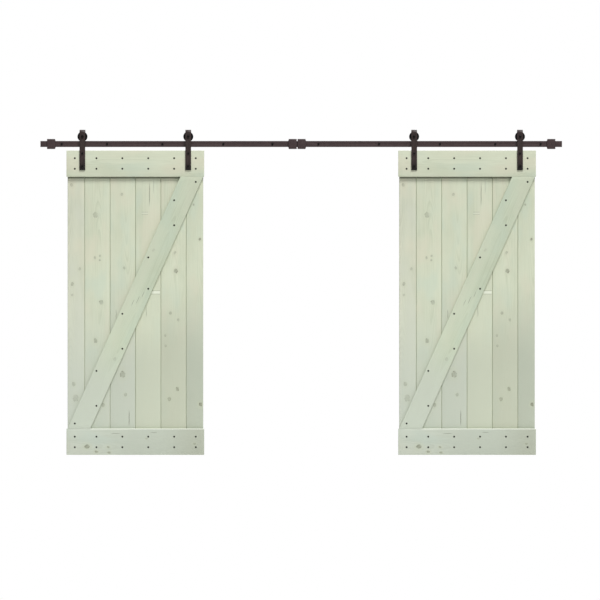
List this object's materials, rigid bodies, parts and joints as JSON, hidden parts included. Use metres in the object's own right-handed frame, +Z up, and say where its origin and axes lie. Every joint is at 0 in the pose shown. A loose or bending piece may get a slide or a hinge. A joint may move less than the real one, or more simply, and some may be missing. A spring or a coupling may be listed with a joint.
{
  "type": "sliding barn doors",
  "caption": "Sliding plank barn doors with Z braces, hung by bent straps and grooved wheels from a flat wall track with end stops",
  "frame": {"origin": "on the wall's face, at the middle of the track's length and at the height of its line of wall screws", "axes": "+X along the track to the right as seen from the room, +Y into the wall, +Z up; the room is at -Y"},
  "size_m": [3.658, 0.1144, 2.28],
  "materials": {
    "sage_stained_planks": "sage green stain on knotty pine, matt, with V-grooved seams",
    "sage_stained_boards": "sage green stain on knotty pine, matt",
    "dark_bronze_steel": "dark bronze powder coat, fine texture, satin",
    "black_screw_steel": "black phosphate, satin",
    "black_nylon": "turned black nylon, satin",
    "zinc_plated_steel": "zinc plated, satin",
    "bearing_steel": "ground steel rings with a dark seal between them"
  },
  "bodies": {
    "track": {"rail_left": "dark_bronze_steel", "rail_right": "dark_bronze_steel", "rail_spacers": "dark_bronze_steel", "wall_screws": "black_screw_steel", "left_outer_stop": "dark_bronze_steel", "left_inner_stop": "dark_bronze_steel", "right_outer_stop": "dark_bronze_steel", "right_inner_stop": "dark_bronze_steel", "stop_set_screws": "black_screw_steel"},
    "left_door": {"left_plank_1": "sage_stained_planks", "left_plank_2": "sage_stained_planks", "left_plank_3": "sage_stained_planks", "left_plank_4": "sage_stained_planks", "left_plank_5": "sage_stained_planks", "left_plank_6": "sage_stained_planks", "left_top_board": "sage_stained_boards", "left_bottom_board": "sage_stained_boards", "left_brace": "sage_stained_boards", "left_board_screws": "black_screw_steel", "left_door_bolts": "dark_bronze_steel", "left_door_washers": "zinc_plated_steel", "left_door_nuts": "zinc_plated_steel", "left_axle_bolts": "dark_bronze_steel", "left_axle_bushes": "zinc_plated_steel", "left_axle_nuts": "zinc_plated_steel", "left_outer_strap": "dark_bronze_steel", "left_inner_strap": "dark_bronze_steel"},
    "right_door": {"right_plank_1": "sage_stained_planks", "right_plank_2": "sage_stained_planks", "right_plank_3": "sage_stained_planks", "right_plank_4": "sage_stained_planks", "right_plank_5": "sage_stained_planks", "right_plank_6": "sage_stained_planks", "right_top_board": "sage_stained_boards", "right_bottom_board": "sage_stained_boards", "right_brace": "sage_stained_boards", "right_board_screws": "black_screw_steel", "right_door_bolts": "dark_bronze_steel", "right_door_washers": "zinc_plated_steel", "right_door_nuts": "zinc_plated_steel", "right_axle_bolts": "dark_bronze_steel", "right_axle_bushes": "zinc_plated_steel", "right_axle_nuts": "zinc_plated_steel", "right_outer_strap": "dark_bronze_steel", "right_inner_strap": "dark_bronze_steel"},
    "left_outer_roller": {"left_outer_wheel": "black_nylon", "left_outer_bearing": "bearing_steel"},
    "left_inner_roller": {"left_inner_wheel": "black_nylon", "left_inner_bearing": "bearing_steel"},
    "right_outer_roller": {"right_outer_wheel": "black_nylon", "right_outer_bearing": "bearing_steel"},
    "right_inner_roller": {"right_inner_wheel": "black_nylon", "right_inner_bearing": "bearing_steel"}
  },
  "joints": [
    {"name": "left_door_slide", "type": "slide", "parent": "track", "child": "left_door", "axis": [1, 0, 0], "range_m": [-0.1615, 0.674]},
    {"name": "right_door_slide", "type": "slide", "parent": "track", "child": "right_door", "axis": [1, 0, 0], "range_m": [-0.685, 0.1615]},
    {"name": "left_outer_wheel_spin", "type": "hinge", "parent": "left_door", "child": "left_outer_roller", "pos_m": [-1.534, -0.038, 0.052], "axis": [0, 1, 0], "continuous": true},
    {"name": "left_inner_wheel_spin", "type": "hinge", "parent": "left_door", "child": "left_inner_roller", "pos_m": [-0.792, -0.038, 0.052], "axis": [0, 1, 0], "continuous": true},
    {"name": "right_outer_wheel_spin", "type": "hinge", "parent": "right_door", "child": "right_outer_roller", "pos_m": [1.534, -0.038, 0.052], "axis": [0, 1, 0], "continuous": true},
    {"name": "right_inner_wheel_spin", "type": "hinge", "parent": "right_door", "child": "right_inner_roller", "pos_m": [0.792, -0.038, 0.052], "axis": [0, 1, 0], "continuous": true}
  ],
  "couplings": [
    {"joint": "left_outer_wheel_spin", "follows": "left_door_slide", "rad_per_m": 32.258},
    {"joint": "left_inner_wheel_spin", "follows": "left_door_slide", "rad_per_m": 32.258},
    {"joint": "right_outer_wheel_spin", "follows": "right_door_slide", "rad_per_m": 32.258},
    {"joint": "right_inner_wheel_spin", "follows": "right_door_slide", "rad_per_m": 32.258}
  ]
}
